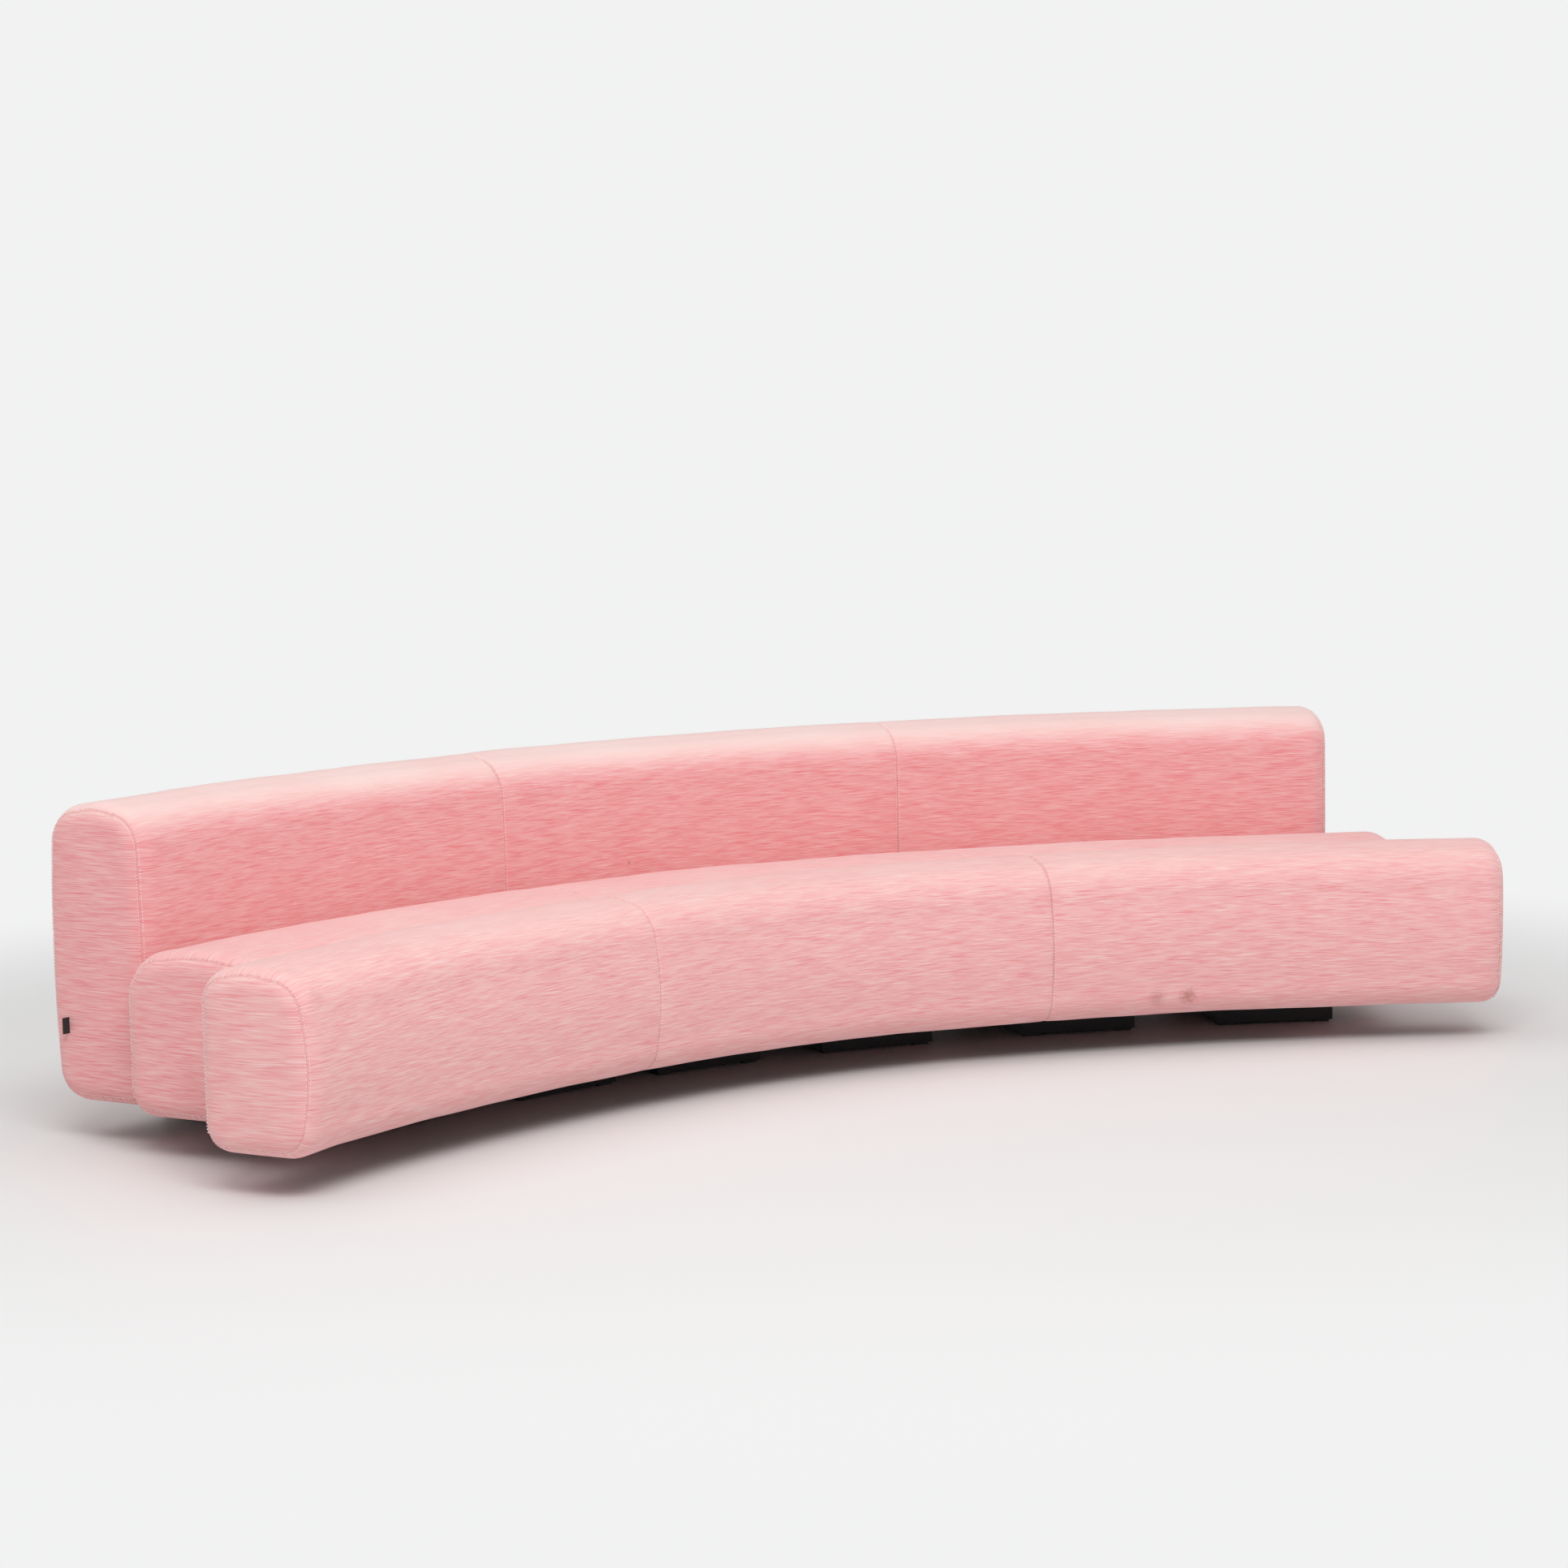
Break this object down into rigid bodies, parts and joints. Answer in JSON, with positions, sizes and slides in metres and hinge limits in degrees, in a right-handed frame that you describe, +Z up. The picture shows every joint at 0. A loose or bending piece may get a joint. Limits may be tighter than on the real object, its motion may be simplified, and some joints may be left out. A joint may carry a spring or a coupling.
{
  "type": "curved sofa",
  "caption": "Wide curved sofa of three upholstered rows, a front bolster, a middle seat and a tall backrest, on low box plinths with glides",
  "frame": {"origin": "on the floor, under the middle of the whole sofa", "axes": "+X runs along the sofa towards its right end as seen by someone who stands in front of it, -Y points out of its hollow front, +Z is up"},
  "size_m": [2.947, 1.1946, 0.629],
  "materials": {
    "upholstery": "melange stretch weave, soft pile",
    "frame_wood": "raw plywood",
    "webbing": "woven elastic band",
    "underside_cloth": "thin black non-woven cloth",
    "plinth": "matt black lacquer on board",
    "glide": "matt moulded pad",
    "tag": "folded woven ribbon"
  },
  "bodies": {
    "root": {"back_base_board": "frame_wood", "back_cushion_centre": "upholstery", "back_cushion_left": "upholstery", "back_cushion_right": "upholstery", "back_dust_cloth": "underside_cloth", "back_front_rail": "frame_wood", "back_rear_rail": "frame_wood", "back_ribs": "frame_wood", "back_top_board": "frame_wood", "fabric_tag": "tag", "front_base_board": "frame_wood", "front_cushion_centre": "upholstery", "front_cushion_left": "upholstery", "front_cushion_right": "upholstery", "front_dust_cloth": "underside_cloth", "front_front_rail": "frame_wood", "front_rear_rail": "frame_wood", "front_ribs": "frame_wood", "front_top_board": "frame_wood", "glides": "glide", "middle_base_board": "frame_wood", "middle_cushion_centre": "upholstery", "middle_cushion_left": "upholstery", "middle_cushion_right": "upholstery", "middle_dust_cloth": "underside_cloth", "middle_front_rail": "frame_wood", "middle_rear_rail": "frame_wood", "middle_ribs": "frame_wood", "plinth_box_1": "plinth", "plinth_box_2": "plinth", "plinth_box_3": "plinth", "plinth_box_4": "plinth", "plinth_box_5": "plinth", "plinth_box_6": "plinth", "seat_bands": "webbing"}
  },
  "joints": []
}
